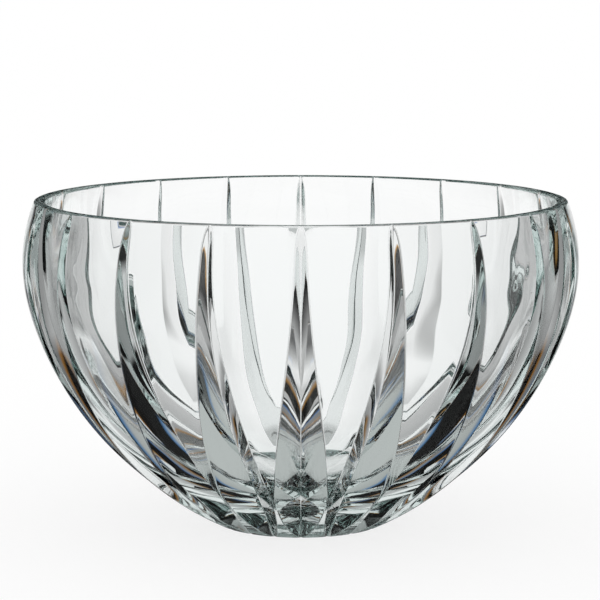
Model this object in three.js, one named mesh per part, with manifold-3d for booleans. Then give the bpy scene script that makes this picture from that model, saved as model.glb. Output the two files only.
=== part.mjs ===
// A one-piece bowl of clear lead crystal, with upright mitre cuts all round its outside wall.
// Millimetres, +Z up. The origin is the middle of the flat foot and a cut faces -Y.
import * as THREE from 'three';
import { mergeVertices } from 'three/addons/utils/BufferGeometryUtils.js';
import Module from 'manifold-3d';

// Outside of the blown blank: a belly arc from the foot, then a shoulder arc that turns in to the rim.
const BOWL_HEIGHT = 150;
const WIDEST_RADIUS = 127;
const WIDEST_HEIGHT = 121;
const FOOT_RADIUS = 39;
const BELLY_ARC_RADIUS = 166;
const SHOULDER_ARC_RADIUS = 75;

// Inside of the blank: half an ellipse, so the wall grows from a slim rim down to a heavy foot.
const FLOOR_THICKNESS = 15;
const WALL_AT_WIDEST = 9.8;
const INSIDE_WIDEST_HEIGHT = 134;
const LIP_HEIGHT = 1;

// Mitre cuts: a V-edged wheel goes in with a round arch at the lip, is deepest low on the belly, and runs
// out at the foot.
const CUT_COUNT = 20;
const WHEEL_ANGLE = 102;
const CUT_DEPTH_NEAR_RIM = 2;
const CUT_DEPTH_DEEPEST = 9.8;
const DEEPEST_FROM_FOOT = 50;
const ARCH_LENGTH = 14;
const RUN_OUT_PAST_FOOT = 4;
const WHEEL_OVER_RIM = 2;
const WHEEL_PAST_FOOT = 6;
const WHEEL_CLEARANCE = 2;

// Facets of the curved surfaces.
const SEGMENTS_PER_CUT = 4;
const BELLY_STEPS = 10;
const SHOULDER_STEPS = 4;
const LIP_STEPS = 4;
const INSIDE_STEPS = 10;
const CUT_STEPS = 20;

// Crystal as a dealer would show it: clear, with the faint grey of lead glass.
const CRYSTAL_COLOUR = 0xf2f5f5;
const CRYSTAL_ROUGHNESS = 0.03;

const wasm = await Module();
wasm.setup();

// The belly arc starts at the foot's edge and runs into the shoulder arc without a corner, so its centre
// lies a belly radius from the foot's edge and the difference of the two radii from the shoulder's centre.
function outsideCurve() {
  const shoulder = new THREE.Vector2(WIDEST_RADIUS - SHOULDER_ARC_RADIUS, WIDEST_HEIGHT);
  const footEdge = new THREE.Vector2(FOOT_RADIUS, 0);
  const span = shoulder.clone().sub(footEdge);
  const toShoulder = BELLY_ARC_RADIUS - SHOULDER_ARC_RADIUS;
  const along = (BELLY_ARC_RADIUS ** 2 - toShoulder ** 2 + span.lengthSq()) / (2 * span.length());
  const aside = Math.sqrt(BELLY_ARC_RADIUS ** 2 - along ** 2);
  const unit = span.clone().normalize();
  const belly = footEdge.clone().addScaledVector(unit, along);
  belly.add(new THREE.Vector2(-unit.y, unit.x).multiplyScalar(aside));
  const footAngle = footEdge.clone().sub(belly).angle() - 2 * Math.PI;
  const joinAngle = shoulder.clone().sub(belly).angle() - 2 * Math.PI;
  const lipAngle = Math.asin((BOWL_HEIGHT - LIP_HEIGHT - WIDEST_HEIGHT) / SHOULDER_ARC_RADIUS);
  const curve = new THREE.CurvePath();
  curve.add(new THREE.EllipseCurve(
    belly.x, belly.y, BELLY_ARC_RADIUS, BELLY_ARC_RADIUS, footAngle, joinAngle));
  curve.add(new THREE.EllipseCurve(
    shoulder.x, shoulder.y, SHOULDER_ARC_RADIUS, SHOULDER_ARC_RADIUS, joinAngle, lipAngle));
  return curve;
}

// The inside runs from the lip down to the middle of the floor.
function insideCurve() {
  const radius = WIDEST_RADIUS - WALL_AT_WIDEST;
  const drop = INSIDE_WIDEST_HEIGHT - FLOOR_THICKNESS;
  const lipAngle = Math.asin((BOWL_HEIGHT - LIP_HEIGHT - INSIDE_WIDEST_HEIGHT) / drop);
  return new THREE.EllipseCurve(0, INSIDE_WIDEST_HEIGHT, radius, drop, lipAngle, -Math.PI / 2, true);
}

// The lip is a half ellipse over the thickness of the wall.
function lipCurve(outer, inner) {
  const middle = (outer.x + inner.x) / 2;
  return new THREE.EllipseCurve(middle, outer.y, outer.x - middle, LIP_HEIGHT, 0, Math.PI);
}

function toSolid(geometry) {
  for (const name of ['normal', 'uv']) {
    geometry.deleteAttribute(name);
  }
  const merged = mergeVertices(geometry);
  return new wasm.Manifold(new wasm.Mesh({
    numProp: 3,
    vertProperties: merged.attributes.position.array,
    triVerts: merged.index.array,
  }));
}

function toGeometry(solid) {
  const mesh = solid.getMesh();
  const geometry = new THREE.BufferGeometry();
  geometry.setAttribute('position', new THREE.BufferAttribute(mesh.vertProperties, 3));
  geometry.setIndex(new THREE.BufferAttribute(mesh.triVerts, 1));
  geometry.computeVertexNormals();
  return geometry;
}

// The blank is one profile turned about the upright axis.
function blankSolid(outside) {
  const [belly, shoulder] = outside.curves;
  const inside = insideCurve();
  const lip = lipCurve(shoulder.getPoint(1), inside.getPoint(0));
  const profile = [
    new THREE.Vector2(0, 0),
    ...belly.getPoints(BELLY_STEPS),
    ...shoulder.getPoints(SHOULDER_STEPS).slice(1),
    ...lip.getPoints(LIP_STEPS).slice(1),
    ...inside.getPoints(INSIDE_STEPS).slice(1),
  ];
  profile.at(-1).x = 0;
  const geometry = new THREE.LatheGeometry(profile, SEGMENTS_PER_CUT * CUT_COUNT);
  geometry.rotateX(Math.PI / 2);
  return toSolid(geometry);
}

// Depth of a cut below the blank: a quarter sine from just past the foot's edge to the deepest place, half
// a cosine wave up the wall, then a quarter ellipse that brings the wheel out of the glass at the lip.
function cutDepth(travel, length) {
  if (travel < DEEPEST_FROM_FOOT) {
    const climb = (travel + RUN_OUT_PAST_FOOT) / (DEEPEST_FROM_FOOT + RUN_OUT_PAST_FOOT);
    return CUT_DEPTH_DEEPEST * Math.sin(Math.PI / 2 * climb);
  }
  const share = Math.min(1, (travel - DEEPEST_FROM_FOOT) / (length - DEEPEST_FROM_FOOT));
  const fade = (1 + Math.cos(Math.PI * share)) / 2;
  const depth = CUT_DEPTH_NEAR_RIM + (CUT_DEPTH_DEEPEST - CUT_DEPTH_NEAR_RIM) * fade;
  const intoArch = Math.max(0, 1 - (length + LIP_HEIGHT - travel) / ARCH_LENGTH);
  const left = 1 - intoArch ** 2;
  return depth * Math.sign(left) * Math.sqrt(Math.abs(left));
}

// The wheel's V section, extruded and laid down the wall from the rim, its edge at the root of the cut. The
// steps are closer together at both ends.
function wheelPath(outside) {
  const length = outside.getLength();
  const flankSlope = Math.tan(THREE.MathUtils.degToRad(90 - WHEEL_ANGLE / 2));
  const section = new THREE.Shape([
    new THREE.Vector2(0, 0), new THREE.Vector2(1, 1), new THREE.Vector2(-1, 1)]);
  const geometry = new THREE.ExtrudeGeometry(section, { depth: 1, steps: CUT_STEPS, bevelEnabled: false });
  const position = geometry.attributes.position;
  for (let i = 0; i < position.count; i += 1) {
    const gone = (1 - Math.cos(Math.PI * position.getZ(i))) / 2;
    const travel = THREE.MathUtils.lerp(length + WHEEL_OVER_RIM, -WHEEL_PAST_FOOT, gone);
    const onWall = THREE.MathUtils.clamp(travel, 0, length);
    const tangent = outside.getTangentAt(onWall / length);
    const point = outside.getPointAt(onWall / length).addScaledVector(tangent, travel - onWall);
    const depth = cutDepth(travel, length);
    const rise = position.getY(i) * (depth + WHEEL_CLEARANCE);
    const spread = position.getX(i) * (depth + WHEEL_CLEARANCE) / flankSlope;
    const outward = rise - depth;
    const radius = point.x + tangent.y * outward;
    position.setXYZ(i, spread, -radius, point.y - tangent.x * outward);
  }
  return geometry;
}

function cutBowl() {
  const outside = outsideCurve();
  const wheel = wheelPath(outside);
  let solid = blankSolid(outside);
  for (let i = 0; i < CUT_COUNT; i += 1) {
    const turned = wheel.clone().rotateZ(i / CUT_COUNT * 2 * Math.PI);
    solid = solid.subtract(toSolid(turned));
  }
  return toGeometry(solid);
}

const crystal = new THREE.MeshStandardMaterial({
  name: 'lead_crystal',
  color: CRYSTAL_COLOUR,
  roughness: CRYSTAL_ROUGHNESS,
  metalness: 0,
});

const bowl = new THREE.Mesh(cutBowl(), crystal);
bowl.name = 'bowl';

const part = new THREE.Group();
part.add(bowl);

export default part;
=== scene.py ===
"""A cut lead crystal bowl on a white sweep, in metres, +Z up, with the front of the bowl towards -Y."""
import math

import bpy
import numpy as np
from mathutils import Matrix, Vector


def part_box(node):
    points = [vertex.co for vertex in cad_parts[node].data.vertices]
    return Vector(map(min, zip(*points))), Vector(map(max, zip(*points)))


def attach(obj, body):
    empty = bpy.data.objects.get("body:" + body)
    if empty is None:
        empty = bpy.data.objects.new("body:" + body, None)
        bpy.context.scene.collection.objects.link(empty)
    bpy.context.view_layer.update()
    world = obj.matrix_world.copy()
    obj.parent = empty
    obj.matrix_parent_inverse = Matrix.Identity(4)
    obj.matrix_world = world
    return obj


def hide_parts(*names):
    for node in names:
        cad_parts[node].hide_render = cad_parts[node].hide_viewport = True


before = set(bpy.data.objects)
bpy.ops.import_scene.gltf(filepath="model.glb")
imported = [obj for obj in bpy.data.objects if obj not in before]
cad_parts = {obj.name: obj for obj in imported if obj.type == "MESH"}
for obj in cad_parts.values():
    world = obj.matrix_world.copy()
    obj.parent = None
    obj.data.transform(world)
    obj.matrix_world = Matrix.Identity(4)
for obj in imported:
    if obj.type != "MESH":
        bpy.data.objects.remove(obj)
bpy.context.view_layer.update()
BOWL_NODE = "bowl"
BOWL_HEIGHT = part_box(BOWL_NODE)[1].z

bl_info = {
    "name": "Cut crystal bowl",
    "version": (1, 0, 0),
    "blender": (4, 5, 0),
    "location": "View3D > Sidebar > Crystal Bowl",
    "description": "Makes a mitre-cut bowl of lead crystal and a white studio round it",
    "category": "Add Mesh",
}

# Rings of the turned profile, and columns on each half of a cut and its panel.
BASE_RINGS = 3
FOOT_RINGS = 5
WALL_RINGS = 70
ARCH_RINGS = 12
LIP_RINGS = 10
INSIDE_RINGS = 40
ROOT_COLUMNS = 2
FLANK_COLUMNS = 4
EDGE_COLUMNS = 3
PANEL_COLUMNS = 5
# Power by which the inside's rings crowd towards the lip.
INSIDE_CROWDING = 1.5
# Rings nearer to the axis than this space their columns as if they lay here.
LEAST_RADIUS = 0.02
# The root and the edge of a cut take at most one of this many parts of its half width each.
HALF_CUT_PARTS = 3
# Least half width of a cut, in edge widths at the widest radius, also where the wheel has left the glass.
LEAST_HALF_CUT = 2
# Least depth of a cut for which columns are placed, as a share of the edge width.
LEAST_DEPTH = 1 / 16

# How finely the lines of the wall and of a cut's root are worked out.
WALL_SAMPLES = 4000
HALVINGS = 40
ROOT_SAMPLES = 3000
SETTLING_STEPS = 12
# The wall is followed down over this many times the height of its widest place, which is past the foot.
WALL_REACH = 1.5
# The root line is followed this many run-outs past the foot and past the lip.
ROOT_PAST_FOOT = 3
ROOT_PAST_LIP = 4

# The photograph's camera: 1.12 m in front of the bowl and a little above its rim, pitched in degrees from
# straight down, with its lens and sensor in millimetres.
CAMERA_PLACE = (-0.00036, -1.1171, 0.2567)
CAMERA_PITCH = 82.15
CAMERA_LENS = 147.13
SENSOR_WIDTH = 36
# Faces that light is followed through, and how far the sweep reaches and lies below the foot.
LIGHT_BOUNCES = 32
SWEEP_REACH = 20
UNDER_GAP = 0.0002

# Places of the colour sockets on a Mix node.
MIX_FACTOR, MIX_FIRST, MIX_SECOND, MIX_RESULT = 0, 6, 7, 2

# What only the glass sees, as rows of stops: a place, and a grey or a red, green and blue there. Real crystal
# spreads white light into colours, which the renderer doesn't do, so narrow orange and blue stops beside
# the dark zones stand in for those fringes.
DARK = 0.004
BLACK = 0.003

# The near table's painted light and shade, by degrees aside from straight behind:
# white behind the bowl, grey with two dark zones at each side, and a pale grey in front.
TABLE_RING = (
    (0, 1), (33, 1), (36, 0.85), (41, 0.6), (56, 0.5), (61, 0.28),
    (63.5, (0.34, 0.18, 0.05)), (65.5, DARK), (79, DARK), (80.5, (0.05, 0.15, 0.36)),
    (82, 0.22), (86, 0.2),
    (88, (0.3, 0.14, 0.03)), (90, DARK), (108, DARK), (110, (0.08, 0.19, 0.36)),
    (114, (0.42, 0.44, 0.43)), (124, (0.5, 0.53, 0.52)), (180, (0.5, 0.53, 0.52)),
)
# The table by distance from the bowl's axis: how much of it is the painted white glow under the foot, and how
# much of it has become the far table.
UNDER_FOOT = ((0, 1), (0.034, 1), (0.042, 0), (0.2, 0))
FOOT_SHADE = 0.95
TABLE_END = ((0, 0), (0.25, 0), (0.3, 1), (0.6, 1))
# The far surroundings by degrees aside: below the horizon, above it, and under the light overhead.
FAR_LOW = (
    (0, 1), (36, 1), (46, 0.6), (56, 0.5), (66, 0.3), (80, 0.35), (92, 0.65), (180, 0.85),
)
FAR_HIGH = ((0, DARK), (70, DARK), (90, 0.03), (180, 0.03))
OVER_SIDES = (
    (0, DARK), (49, DARK), (51.5, (0.14, 0.22, 0.36)), (54, 0.9), (130, 0.9), (142, 0.6), (180, 0.6),
)
# Degrees of elevation at which the second of those, the third and the light overhead take over.
HORIZON = ((-90, 0), (-1, 0), (1, 1), (90, 1))
SIDES_RISE = ((0, 0), (26, 0), (30, 1), (90, 1))
OVERHEAD = ((0, 0), (64, 0), (70, 1), (90, 1))
# What the polished faces mirror, by degrees aside: the near table and the far one, by distance from one to
# the other, as painted reflections on the table that only mirrored rays see,
# and the surroundings above the horizon.
MIRRORED_NEAR = ((0, DARK), (120, DARK), (150, 0.25), (180, 0.25))
MIRRORED_LOW = ((0, 0.9), (36, 0.9), (44, BLACK), (124, BLACK), (142, 1), (180, 1))
MIRRORED_REACH = ((0, 0), (0.1, 0), (1.2, 1), (1.3, 1))
MIRRORED_HIGH = ((0, BLACK), (124, BLACK), (142, 1), (180, 1))

# The white card stands upright behind the bowl and glows with painted light that only the glass sees. Its
# brightness goes by the distance aside, less a share of the height because it widens upwards: a white middle,
# a dark band, a white strip and a black end.
CARD_PLACE = 0.28
CARD_HALF_WIDTH = 0.42
CARD_HEIGHT = 0.17
CARD_SPREAD = 0.5
CARD_ASIDE = (
    (0, 1), (0.14, 1), (0.152, 0.92), (0.172, 0.88), (0.184, 0.42), (0.193, 0.28), (0.206, 0.14),
    (0.226, 0.1), (0.229, (0.08, 0.2, 0.45)), (0.233, 0.95), (0.26, 0.95), (0.265, (0.5, 0.26, 0.05)),
    (0.27, BLACK), (CARD_HALF_WIDTH, BLACK),
)
# By height, the card's painted light is dark along its top and runs into the far table at its foot.
CARD_RISE = ((0, 1), (0.14, 1), (0.155, DARK), (CARD_HEIGHT, DARK))
CARD_FOOT = ((0, 1), (0.022, 0), (CARD_HEIGHT, 0))

# Two black cards lie level just over the rim, left and right: their height, and how far they reach aside and
# from front to back.
FLAG_HEIGHT = 0.156
FLAG_ASIDE = (0.065, 0.18)
FLAG_ALONG = (-0.06, 0.18)


def linear(hex_colour):
    """Turns an sRGB hex colour such as "#ffffff" into linear red, green and blue."""
    srgb = np.array([int(hex_colour[i:i + 2], 16) for i in (1, 3, 5)]) / 255
    return tuple(np.where(srgb <= 0.04045, srgb / 12.92, ((srgb + 0.055) / 1.055) ** 2.4).tolist())


def length(name, description, default):
    """A length property in metres, shown to a hundredth of a millimetre."""
    return bpy.props.FloatProperty(
        name=name, description=description, default=default, min=0, unit="LENGTH", precision=5)


def level(name, description, default):
    """A plain number property for light levels and the like."""
    return bpy.props.FloatProperty(name=name, description=description, default=default, min=0, precision=3)


def angle(name, description, default):
    """An angle property, written here in degrees."""
    return bpy.props.FloatProperty(
        name=name, description=description, default=math.radians(default), subtype="ANGLE")


def colour(name, description, hex_colour):
    """A colour property, written here as sRGB hex."""
    return bpy.props.FloatVectorProperty(
        name=name, description=description, default=linear(hex_colour), size=3, min=0, max=1, subtype="COLOR")


class BowlSizes(bpy.types.PropertyGroup):
    """Sizes of the bowl's blank, its cuts and its polished edges."""
    height: length("Height", "From the table to the top of the rim", BOWL_HEIGHT)
    widest_radius: length("Widest radius", "Radius of the blank where it is widest", 0.127)
    widest_height: length("Widest height", "Height at which the blank is widest", 0.121)
    foot_radius: length("Foot radius", "Radius of the flat foot", 0.039)
    belly_arc: length("Belly arc", "Radius of the arc from the foot to the shoulder", 0.166)
    shoulder_arc: length("Shoulder arc", "Radius of the arc that turns in to the rim", 0.075)
    easing: length("Easing", "Length of wall over which the belly's bend becomes the shoulder's", 0.06)
    floor: length("Floor", "Thickness of glass under the middle of the inside", 0.015)
    wall: length("Wall", "Thickness of the wall where the bowl is widest", 0.0098)
    inside_height: length("Inside widest height", "Height at which the inside is widest", 0.134)
    lip: length("Lip", "Height of the rounded lip", 0.001)
    cuts: bpy.props.IntProperty(name="Cuts", description="Number of mitre cuts", default=20, min=3)
    wheel_angle: angle("Wheel angle", "Angle of the cutting wheel's edge", 102)
    depth_near_rim: length("Depth near rim", "Depth of a cut below its arch under the lip", 0.002)
    depth_deepest: length("Greatest depth", "Depth of a cut low on the belly", 0.0098)
    deepest_travel: length("Deepest place", "Distance of the deepest place up the wall from the foot", 0.050)
    arch: length("Arch", "Length of the round arch in which a cut closes at the lip", 0.014)
    run_out: length("Run-out", "How far past the foot's edge a cut would come to nothing", 0.004)
    root_radius: length("Root radius", "Polished round at the bottom of a cut", 0.0003)
    edge_width: length("Edge width", "Width over which polishing has softened a cut's edges", 0.00045)
    foot_edge: length("Foot edge", "Width of the softened edge of the foot", 0.0008)


class CrystalFinish(bpy.types.PropertyGroup):
    """Look of the polished crystal."""
    ior: level("Refractive index", "Lead crystal bends light more than window glass", 1.545)
    roughness: level("Roughness", "Polished all over, so nothing", 0.0)
    glare: level("Glare", "Share of head-on reflections left by a polarising filter on the lens", 0.35)
    tint: colour("Tint", "What the glass passes on a long way through it", "#bfd2cf")
    tint_density: level("Tint density", "How fast the tint builds up, per metre", 8.0)
    wave: length("Wave", "Distance between the faint waves left by hand polishing", 0.03)
    wave_height: length("Wave height", "Height of those waves", 0.0008)


class StudioLight(bpy.types.PropertyGroup):
    """White of the sweep and level of the light overhead."""
    white: colour("Backdrop", "The white sweep", "#ffffff")
    floor_share: level("Floor shadow", "Share of the floor's white that is lit and can be shaded", 0.2)
    overhead: level("Overhead", "Level of the soft light overhead", 0.9)


def below_widest(s, down, join):
    """Outward angle, radius and height of the blank's wall at even distances down from its widest place.

    The wall bends by one over the shoulder's radius, then by one over the belly's, with a smooth step between
    the two round the join. The angle is the sum of the bend, and the place the sum of the directions.
    """
    step = np.clip((down - join) / s.easing + 0.5, 0, 1)
    step = step ** 2 * (3 - 2 * step)
    bend = (1 - step) / s.shoulder_arc + step / s.belly_arc
    pace = down[1] - down[0]
    turn = -pace * (np.cumsum(bend) - bend / 2 - bend[0] / 2)
    radius = s.widest_radius + pace * (np.cumsum(np.sin(turn)) - np.sin(turn) / 2)
    height = s.widest_height - pace * (np.cumsum(np.cos(turn)) - np.cos(turn) / 2 - 0.5)
    return turn, radius, height


def wall_line(s):
    """The blank's wall as distance up from the foot's edge, outward angle, radius and height.

    The join of shoulder and belly is where the wall comes down on the foot's edge, found by halving a range.
    Above its widest place the wall is one arc up to the lip.
    """
    down = np.linspace(0, WALL_REACH * s.widest_height, WALL_SAMPLES)
    near, far = 0.0, s.widest_height / 2
    for _ in range(HALVINGS):
        join = (near + far) / 2
        turn, radius, height = below_widest(s, down, join)
        on_table = np.interp(0, -height, radius)
        near, far = (near, join) if on_table < s.foot_radius else (join, far)
    foot = np.interp(0, -height, down)
    lip_turn = math.asin((s.height - s.lip - s.widest_height) / s.shoulder_arc)
    up = np.linspace(0, lip_turn, WALL_SAMPLES)[1:]
    kept = down < foot
    turn = np.concatenate([[np.interp(foot, down, turn)], turn[kept][::-1], up])
    radius = np.concatenate([
        [s.foot_radius], radius[kept][::-1], s.widest_radius - s.shoulder_arc * (1 - np.cos(up))])
    height = np.concatenate([[0], height[kept][::-1], s.widest_height + s.shoulder_arc * np.sin(up)])
    travel = np.concatenate([[0], foot - down[kept][::-1], foot + up * s.shoulder_arc])
    return travel, turn, radius, height


def wall(s, travel):
    """Points (radius, height) and outward normals of the blank's wall at distances up from the foot's edge.

    Past either end the wall goes straight on.
    """
    line_travel, line_turn, line_radius, line_height = wall_line(s)
    on_wall = np.clip(travel, 0, line_travel[-1])
    turn = np.interp(on_wall, line_travel, line_turn)
    radius = np.interp(on_wall, line_travel, line_radius)
    height = np.interp(on_wall, line_travel, line_height)
    normal = np.stack([np.cos(turn), np.sin(turn)], -1)
    tangent = np.stack([-normal[:, 1], normal[:, 0]], -1)
    return np.stack([radius, height], -1) + tangent * (travel - on_wall)[:, None], normal


def cut_depth(s, travel):
    """Depth of a cut at distances up the wall from the foot's edge.

    A quarter sine grows from just past the foot to the deepest place, half a cosine wave falls from there,
    and a quarter ellipse brings it to nothing at the lip. Past that the depth is less than nothing, because
    the wheel has left the glass.
    """
    whole = wall_line(s)[0][-1]
    climb = (travel + s.run_out) / (s.deepest_travel + s.run_out)
    share = np.clip((travel - s.deepest_travel) / (whole - s.deepest_travel), 0, 1)
    fade = (1 + np.cos(np.pi * share)) / 2
    upper = s.depth_near_rim + (s.depth_deepest - s.depth_near_rim) * fade
    left = 1 - np.maximum(1 - (whole + s.lip - travel) / s.arch, 0) ** 2
    upper = upper * np.sign(left) * np.sqrt(np.abs(left))
    return np.where(travel < s.deepest_travel, s.depth_deepest * np.sin(np.pi / 2 * climb), upper)


def cut_root(s, height):
    """Radius of a cut's root at each height, and the upright part of the root line's direction there.

    The root line lies a cut's depth inside the wall, along the wall's normal.
    """
    whole = wall_line(s)[0][-1]
    travel = np.linspace(-ROOT_PAST_FOOT * s.run_out, whole + ROOT_PAST_LIP * s.run_out, ROOT_SAMPLES)
    point, normal = wall(s, travel)
    root = point - normal * cut_depth(s, travel)[:, None]
    direction = np.gradient(root, axis=0)
    upright = direction[:, 1] / np.hypot(direction[:, 0], direction[:, 1])
    return np.interp(height, root[:, 1], root[:, 0]), np.interp(height, root[:, 1], upright)


def bowl_profile(s):
    """The turned profile: from the middle of the foot up the outside, over the lip and down the inside.

    The foot's edge is a quadratic curve, the outside is the wall's line, the lip is half an ellipse over the
    thickness of the wall, and the inside is a longer part of an ellipse that ends in the middle of the floor.
    Returns the points, and how many of them the cuts reach.
    """
    whole = wall_line(s)[0][-1]
    start = np.array([s.foot_radius - s.foot_edge, 0.0])
    corner = np.array([s.foot_radius, 0.0])
    end = wall(s, np.array([s.foot_edge]))[0][0]
    base = np.linspace(0, 1, BASE_RINGS, endpoint=False)[:, None] * start
    t = np.linspace(0, 1, FOOT_RINGS)[:, None]
    foot = (1 - t) ** 2 * start + 2 * t * (1 - t) * corner + t ** 2 * end
    below_arch = np.linspace(s.foot_edge, whole - s.arch, WALL_RINGS + 1)[1:]
    arch = whole - s.arch * np.linspace(1, 0, ARCH_RINGS + 1)[1:] ** 2
    outside = wall(s, np.concatenate([below_arch, arch]))[0]
    inside_radius = s.widest_radius - s.wall
    drop = s.inside_height - s.floor
    lip_turn = math.asin((s.height - s.lip - s.inside_height) / drop)
    down = np.linspace(0, 1, INSIDE_RINGS + 1) ** INSIDE_CROWDING
    turn = lip_turn - (lip_turn + np.pi / 2) * down
    inside = np.stack([inside_radius * np.cos(turn), s.inside_height + drop * np.sin(turn)], -1)
    inside[-1, 0] = 0
    half = (outside[-1, 0] - inside[0, 0]) / 2
    over = np.linspace(0, np.pi, LIP_RINGS + 1)[1:, None]
    lip = np.array([inside[0, 0] + half, s.height - s.lip]) + np.concatenate(
        [half * np.cos(over), s.lip * np.sin(over)], 1)
    points = np.concatenate([base, foot, outside, lip, inside[1:]])
    return points, len(base) + len(foot) + len(outside) + LIP_RINGS // 2


def spread(start, end, count):
    """Columns at even steps from start to end on each ring, without the first."""
    return start[:, None] + (end - start)[:, None] * np.linspace(0, 1, count + 1)[1:]


def cut_columns(s, ring_radius, edge):
    """Angles of the grid's columns over one pitch, close together at a cut's root and at its edges."""
    size = np.maximum(ring_radius, LEAST_RADIUS)
    pitch = np.full_like(edge, np.pi / s.cuts)
    zero = np.zeros_like(edge)
    root = np.minimum(s.root_radius / size, edge / HALF_CUT_PARTS)
    inner = np.minimum(s.edge_width / size, edge / HALF_CUT_PARTS)
    outer = np.minimum(s.edge_width / size, (pitch - edge) / 2)
    half = np.concatenate([
        zero[:, None],
        spread(zero, root, ROOT_COLUMNS),
        spread(root, edge - inner, FLANK_COLUMNS),
        spread(edge - inner, edge, EDGE_COLUMNS),
        spread(edge, edge + outer, EDGE_COLUMNS),
        spread(edge + outer, pitch, PANEL_COLUMNS),
    ], 1)
    return np.concatenate([-half[:, ::-1], half[:, 1:-1]], 1)


def smooth_minimum(a, b, reach):
    """The lesser of two values; where they differ by less than reach, a parabola rounds their corner."""
    nearness = np.maximum(reach - np.abs(a - b), 0) / reach
    return np.minimum(a, b) - nearness ** 2 * reach / 4


def bowl_grid(s):
    """The bowl as a grid of rings by columns.

    Each ring is a circle of the blank's radius. A cut lowers it to the radius at which the distance out from
    the root equals the V's height over the distance aside, the V being a circle of the root's radius that
    runs into straight flanks. The lesser of the two radii, with a rounded corner, is the polished surface.
    """
    profile, cut_rings = bowl_profile(s)
    blank, height = profile.T
    root, upright = cut_root(s, height)
    flank = math.pi / 2 - s.wheel_angle / 2
    slope = math.tan(flank) / upright
    proud = np.maximum(blank, root + s.edge_width * LEAST_DEPTH)
    aside = np.sqrt((root * slope) ** 2 + (1 + slope ** 2) * (proud ** 2 - root ** 2)) - root * slope
    aside = aside / (1 + slope ** 2)
    edge = np.arctan2(aside, root + aside * slope)
    edge[:BASE_RINGS] = edge[BASE_RINGS]
    least = np.full_like(edge, s.edge_width / s.widest_radius * LEAST_HALF_CUT)
    is_cut = np.arange(len(blank)) < cut_rings
    edge = np.where(is_cut, np.maximum(edge, least), least)
    columns = cut_columns(s, blank, edge)
    rings = np.repeat(blank[:, None], columns.shape[1], 1)
    radius = rings
    round_half = s.root_radius * math.sin(flank)
    for _ in range(SETTLING_STEPS):
        x = np.abs(radius * np.sin(columns))
        fillet = s.root_radius / math.cos(flank) - np.sqrt(np.maximum(s.root_radius ** 2 - x ** 2, 0))
        v_height = np.where(x < round_half, fillet, x * math.tan(flank))
        radius = (root[:, None] + v_height / upright[:, None]) / np.cos(columns)
        radius = np.minimum(radius, rings + s.depth_deepest)
    cut = smooth_minimum(rings, radius, (s.edge_width * slope)[:, None])
    radius = np.where(is_cut[:, None], cut, rings)
    radius[blank == 0] = 0
    turns = np.arange(s.cuts) * 2 * np.pi / s.cuts
    around = (columns[:, None, :] + turns[None, :, None]).reshape(len(blank), -1)
    radius = np.tile(radius, (1, s.cuts))
    tall = np.broadcast_to(height[:, None], around.shape)
    return np.stack([radius * np.sin(around), -radius * np.cos(around), tall], -1)


def grid_mesh(name, grid):
    """A closed mesh from a grid of rings whose first and last ring are single points on the axis."""
    rings, columns = grid.shape[:2]
    points = np.concatenate([grid[:1, 0], grid[1:-1].reshape(-1, 3), grid[-1:, 0]])
    here = 1 + np.arange((rings - 2) * columns).reshape(rings - 2, columns)
    beside = np.roll(here, -1, 1)
    quads = np.stack([here[:-1], beside[:-1], beside[1:], here[1:]], -1).reshape(-1, 4)
    first = np.stack([np.zeros(columns, int), beside[0], here[0]], -1)
    last = np.stack([here[-1], beside[-1], np.full(columns, len(points) - 1)], -1)
    mesh = bpy.data.meshes.new(name)
    mesh.from_pydata(points, [], quads.tolist() + first.tolist() + last.tolist())
    mesh.shade_smooth()
    mesh.validate()
    return mesh


def add(tree, kind, links=None, values=None, **settings):
    """Adds a node of a kind, with its settings, its plain input values and its links from other outputs."""
    made = tree.nodes.new(kind)
    for name, value in settings.items():
        setattr(made, name, value)
    for socket, value in (values or {}).items():
        made.inputs[socket].default_value = value
    for socket, output in (links or {}).items():
        tree.links.new(output, made.inputs[socket])
    return made


def new_tree(material):
    """The emptied node tree of a material or world."""
    material.use_nodes = True
    material.node_tree.nodes.clear()
    return material.node_tree


def opaque(shade):
    """Red, green, blue and full alpha of a shade, which is a plain grey or three numbers."""
    return (*np.broadcast_to(shade, 3).tolist(), 1)


def lead_crystal(finish):
    """Lead crystal, cut on wheels and acid polished: clear and bright, teal grey only through thick glass.

    Faint waves from the polishing bend the streaks that are seen through it. A grey specular tint holds back
    what it mirrors head-on, as a polarising filter does, so that the dark cuts stay deep.
    """
    material = bpy.data.materials.new("lead_crystal")
    tree = new_tree(material)
    place = add(tree, "ShaderNodeTexCoord")
    waves = add(tree, "ShaderNodeTexNoise", {"Vector": place.outputs["Object"]}, {
        "Scale": 1 / finish.wave,
        "Detail": 0,
    })
    wavy = add(tree, "ShaderNodeBump", {"Height": waves.outputs[0]}, {"Distance": finish.wave_height})
    surface = add(tree, "ShaderNodeBsdfPrincipled", {"Normal": wavy.outputs[0]}, {
        "Base Color": opaque(1),
        "Roughness": finish.roughness,
        "IOR": finish.ior,
        "Specular Tint": opaque(finish.glare),
        "Transmission Weight": 1,
    })
    body = add(tree, "ShaderNodeVolumeAbsorption", values={
        "Color": opaque(finish.tint),
        "Density": finish.tint_density,
    })
    add(tree, "ShaderNodeOutputMaterial", {"Surface": surface.outputs[0], "Volume": body.outputs[0]})
    return material


def shades_along(tree, scale, stops):
    """The shade at each place of a scale in degrees or metres, from a row of stops on that scale."""
    low, high = stops[0][0], stops[-1][0]
    share = add(tree, "ShaderNodeMapRange", {"Value": scale}, {"From Min": low, "From Max": high})
    row = add(tree, "ShaderNodeValToRGB", {"Fac": share.outputs[0]})
    elements = row.color_ramp.elements
    given = len(elements)
    for index, (place, shade) in enumerate(stops):
        position = (place - low) / (high - low)
        stop = elements[index] if index < given else elements.new(position)
        stop.position = position
        stop.color = opaque(shade)
    return row.outputs[0]


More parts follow.
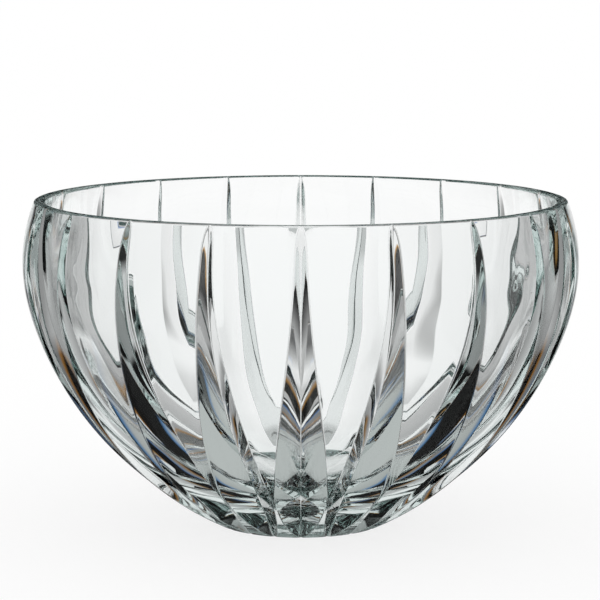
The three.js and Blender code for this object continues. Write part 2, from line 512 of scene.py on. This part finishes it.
def degrees_aside(tree, axes):
    """Degrees to either side of straight behind the bowl."""
    turn = add(tree, "ShaderNodeMath", {0: axes.outputs["X"], 1: axes.outputs["Y"]}, operation="ARCTAN2")
    aside = add(tree, "ShaderNodeMath", {0: turn.outputs[0]}, operation="ABSOLUTE")
    return add(tree, "ShaderNodeMath", {0: aside.outputs[0]}, operation="DEGREES").outputs[0]


def seen_by_glass(tree):
    """One for light that the glass passes or mirrors, and nothing for the camera and the floor."""
    path = add(tree, "ShaderNodeLightPath")
    either = {0: path.outputs["Is Transmission Ray"], 1: path.outputs["Is Glossy Ray"]}
    return add(tree, "ShaderNodeMath", either, operation="MAXIMUM").outputs[0]


def mirrored(tree, passed, faces):
    """What polished faces mirror where a ray is mirrored, and otherwise the light that the glass passes."""
    path = add(tree, "ShaderNodeLightPath")
    return add(tree, "ShaderNodeMix", {
        MIX_FACTOR: path.outputs["Is Reflection Ray"],
        MIX_FIRST: passed,
        MIX_SECOND: faces,
    }, data_type="RGBA").outputs[MIX_RESULT]


def sweep_material(light):
    """White sweep: matt, a share of it lit so that it takes a shadow, the rest glowing, so white to the eye.

    To the glass it glows with painted light and shade as the studio's table:
    white behind and under the bowl, grey or dark at the sides, and painted reflections where a ray is
    mirrored.
    """
    material = bpy.data.materials.new("matt_white_sweep")
    tree = new_tree(material)
    lit = add(tree, "ShaderNodeBsdfDiffuse", values={"Color": opaque(light.floor_share)})
    glow = add(
        tree, "ShaderNodeEmission", values={"Color": opaque(light.white), "Strength": 1 - light.floor_share})
    eye = add(tree, "ShaderNodeAddShader", {0: lit.outputs[0], 1: glow.outputs[0]})
    place = add(tree, "ShaderNodeTexCoord").outputs["Object"]
    reach = add(tree, "ShaderNodeVectorMath", {0: place}, operation="LENGTH").outputs["Value"]
    aside = degrees_aside(tree, add(tree, "ShaderNodeSeparateXYZ", {0: place}))
    near = add(tree, "ShaderNodeMix", {
        MIX_FACTOR: shades_along(tree, reach, UNDER_FOOT),
        MIX_FIRST: shades_along(tree, aside, TABLE_RING),
    }, {MIX_SECOND: opaque(FOOT_SHADE)}, data_type="RGBA")
    passed = add(tree, "ShaderNodeMix", {
        MIX_FACTOR: shades_along(tree, reach, TABLE_END),
        MIX_FIRST: near.outputs[MIX_RESULT],
        MIX_SECOND: shades_along(tree, aside, FAR_LOW),
    }, data_type="RGBA")
    faces = add(tree, "ShaderNodeMix", {
        MIX_FACTOR: shades_along(tree, reach, MIRRORED_REACH),
        MIX_FIRST: shades_along(tree, aside, MIRRORED_NEAR),
        MIX_SECOND: shades_along(tree, aside, MIRRORED_LOW),
    }, data_type="RGBA")
    shade = mirrored(tree, passed.outputs[MIX_RESULT], faces.outputs[MIX_RESULT])
    # The table glows with this painted light and shade, which only the glass sees.
    table = add(tree, "ShaderNodeEmission", {"Color": shade})
    both = add(tree, "ShaderNodeMixShader", {0: seen_by_glass(tree), 1: eye.outputs[0], 2: table.outputs[0]})
    add(tree, "ShaderNodeOutputMaterial", {"Surface": both.outputs[0]})
    return material


def white_card_material():
    """White card glowing with painted light: shaded by the distance aside and by height, its foot running
    into the table.
    """
    material = bpy.data.materials.new("white_card")
    tree = new_tree(material)
    place = add(tree, "ShaderNodeTexCoord")
    axes = add(tree, "ShaderNodeSeparateXYZ", {0: place.outputs["Object"]})
    height = axes.outputs["Z"]
    aside = add(tree, "ShaderNodeMath", {0: axes.outputs["X"]}, operation="ABSOLUTE").outputs[0]
    edge = add(tree, "ShaderNodeMath", {0: height, 2: aside}, {1: -CARD_SPREAD}, operation="MULTIPLY_ADD")
    card = add(tree, "ShaderNodeMix", {
        MIX_FIRST: shades_along(tree, edge.outputs[0], CARD_ASIDE),
        MIX_SECOND: shades_along(tree, height, CARD_RISE),
    }, {MIX_FACTOR: 1}, data_type="RGBA", blend_type="MULTIPLY")
    shade = add(tree, "ShaderNodeMix", {
        MIX_FACTOR: shades_along(tree, height, CARD_FOOT),
        MIX_FIRST: card.outputs[MIX_RESULT],
        MIX_SECOND: shades_along(tree, degrees_aside(tree, axes), FAR_LOW),
    }, data_type="RGBA")
    glow = add(tree, "ShaderNodeEmission", {"Color": shade.outputs[MIX_RESULT]})
    add(tree, "ShaderNodeOutputMaterial", {"Surface": glow.outputs[0]})
    return material


def black_card_material():
    """Matt black card, which keeps the light overhead to the middle of the bowl."""
    material = bpy.data.materials.new("black_card")
    tree = new_tree(material)
    matt = add(tree, "ShaderNodeBsdfDiffuse", values={"Color": opaque(BLACK)})
    add(tree, "ShaderNodeOutputMaterial", {"Surface": matt.outputs[0]})
    return material


def studio_world(light):
    """White to the camera and on the floor.

    To the glass it is dark just above the table, pale high up at the sides, and lit overhead.
    """
    world = bpy.data.worlds.new("studio")
    tree = new_tree(world)
    place = add(tree, "ShaderNodeTexCoord")
    axes = add(tree, "ShaderNodeSeparateXYZ", {0: place.outputs["Generated"]})
    rise = add(tree, "ShaderNodeMath", {0: axes.outputs["Z"]}, operation="ARCSINE")
    elevation = add(tree, "ShaderNodeMath", {0: rise.outputs[0]}, operation="DEGREES").outputs[0]
    aside = degrees_aside(tree, axes)
    low = add(tree, "ShaderNodeMix", {
        MIX_FACTOR: shades_along(tree, elevation, HORIZON),
        MIX_FIRST: shades_along(tree, aside, FAR_LOW),
        MIX_SECOND: shades_along(tree, aside, FAR_HIGH),
    }, data_type="RGBA")
    sides = add(tree, "ShaderNodeMix", {
        MIX_FACTOR: shades_along(tree, elevation, SIDES_RISE),
        MIX_FIRST: low.outputs[MIX_RESULT],
        MIX_SECOND: shades_along(tree, aside, OVER_SIDES),
    }, data_type="RGBA")
    to_glass = add(tree, "ShaderNodeMix", {
        MIX_FACTOR: shades_along(tree, elevation, OVERHEAD),
        MIX_FIRST: mirrored(tree, sides.outputs[MIX_RESULT], shades_along(tree, aside, MIRRORED_HIGH)),
    }, {MIX_SECOND: opaque(light.overhead)}, data_type="RGBA")
    shown = add(tree, "ShaderNodeMix", {
        MIX_FACTOR: seen_by_glass(tree),
        MIX_SECOND: to_glass.outputs[MIX_RESULT],
    }, {MIX_FIRST: opaque(light.white)}, data_type="RGBA")
    background = add(tree, "ShaderNodeBackground", {"Color": shown.outputs[MIX_RESULT]})
    add(tree, "ShaderNodeOutputWorld", {"Surface": background.outputs[0]})
    return world


def stand(scene, name, corners, material):
    """Adds a piece of the studio to the scene: a flat card for every four corners."""
    faces = np.arange(len(corners)).reshape(-1, 4)
    mesh = bpy.data.meshes.new(name)
    mesh.from_pydata(corners, [], faces.tolist())
    mesh.materials.append(material)
    made = bpy.data.objects.new(name, mesh)
    scene.collection.objects.link(made)
    return made


class CRYSTALBOWL_OT_stage(bpy.types.Operator):
    """Makes the camera, the white sweep and the studio light"""
    bl_idname = "crystal_bowl.make_stage"
    bl_label = "Make stage"

    def execute(self, context):
        scene = context.scene
        scene.view_settings.view_transform = "Standard"
        lens = bpy.data.cameras.new("front_camera")
        lens.sensor_width = SENSOR_WIDTH
        lens.lens = CAMERA_LENS
        camera = bpy.data.objects.new("front_camera", lens)
        camera.location = CAMERA_PLACE
        camera.rotation_euler = (math.radians(CAMERA_PITCH), 0, 0)
        scene.collection.objects.link(camera)
        scene.camera = camera
        far = SWEEP_REACH
        sweep = stand(
            scene, "sweep", [(-far, -far, 0), (far, -far, 0), (far, far, 0), (-far, far, 0)],
            sweep_material(scene.crystal_studio))
        sweep.location.z = -UNDER_GAP
        wide, tall, away = CARD_HALF_WIDTH, CARD_HEIGHT, CARD_PLACE
        card = stand(
            scene, "card", [(-wide, away, 0), (wide, away, 0), (wide, away, tall), (-wide, away, tall)],
            white_card_material())
        (inner, outer), (front, back) = FLAG_ASIDE, FLAG_ALONG
        flag = stand(
            scene, "flag", [
                (-outer, front, 0), (-inner, front, 0), (-inner, back, 0), (-outer, back, 0),
                (inner, front, 0), (outer, front, 0), (outer, back, 0), (inner, back, 0)],
            black_card_material())
        flag.location.z = FLAG_HEIGHT
        for unseen in (card, flag):
            unseen.visible_camera = False
            unseen.visible_diffuse = False
            unseen.visible_shadow = False
        scene.world = studio_world(scene.crystal_studio)
        scene.cycles.max_bounces = LIGHT_BOUNCES
        scene.cycles.transmission_bounces = LIGHT_BOUNCES
        scene.cycles.glossy_bounces = LIGHT_BOUNCES
        return {"FINISHED"}


class CRYSTALBOWL_OT_bowl(bpy.types.Operator):
    """Makes the cut crystal bowl in place of its plain solid"""
    bl_idname = "crystal_bowl.make_bowl"
    bl_label = "Make bowl"

    def execute(self, context):
        scene = context.scene
        mesh = grid_mesh("cut_crystal_bowl", bowl_grid(scene.crystal_sizes))
        mesh.materials.append(lead_crystal(scene.crystal_finish))
        bowl = bpy.data.objects.new("cut_crystal_bowl", mesh)
        scene.collection.objects.link(bowl)
        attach(bowl, "root")
        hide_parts(BOWL_NODE)
        return {"FINISHED"}


class CRYSTALBOWL_PT_panel(bpy.types.Panel):
    """Lists what can be made, and the sizes and colours behind it"""
    bl_idname = "CRYSTALBOWL_PT_panel"
    bl_label = "Crystal Bowl"
    bl_space_type = "VIEW_3D"
    bl_region_type = "UI"
    bl_category = "Crystal Bowl"

    def draw(self, context):
        for operator in (CRYSTALBOWL_OT_stage, CRYSTALBOWL_OT_bowl):
            self.layout.operator(operator.bl_idname)
        for name in SETTINGS:
            group = getattr(context.scene, name)
            for prop in group.__annotations__:
                self.layout.prop(group, prop)


SETTINGS = {"crystal_sizes": BowlSizes, "crystal_finish": CrystalFinish, "crystal_studio": StudioLight}
CLASSES = (*SETTINGS.values(), CRYSTALBOWL_OT_stage, CRYSTALBOWL_OT_bowl, CRYSTALBOWL_PT_panel)


def register():
    """Registers the classes and puts the settings on the scene."""
    for cls in CLASSES:
        bpy.utils.register_class(cls)
    for name, group in SETTINGS.items():
        setattr(bpy.types.Scene, name, bpy.props.PointerProperty(type=group))


def unregister():
    """Takes the settings off the scene and unregisters the classes."""
    for name in SETTINGS:
        delattr(bpy.types.Scene, name)
    for cls in reversed(CLASSES):
        bpy.utils.unregister_class(cls)


def main():
    """Registers the classes, and makes the stage and the bowl."""
    register()
    bpy.ops.crystal_bowl.make_stage()
    bpy.ops.crystal_bowl.make_bowl()


if __name__ == "__main__":
    main()
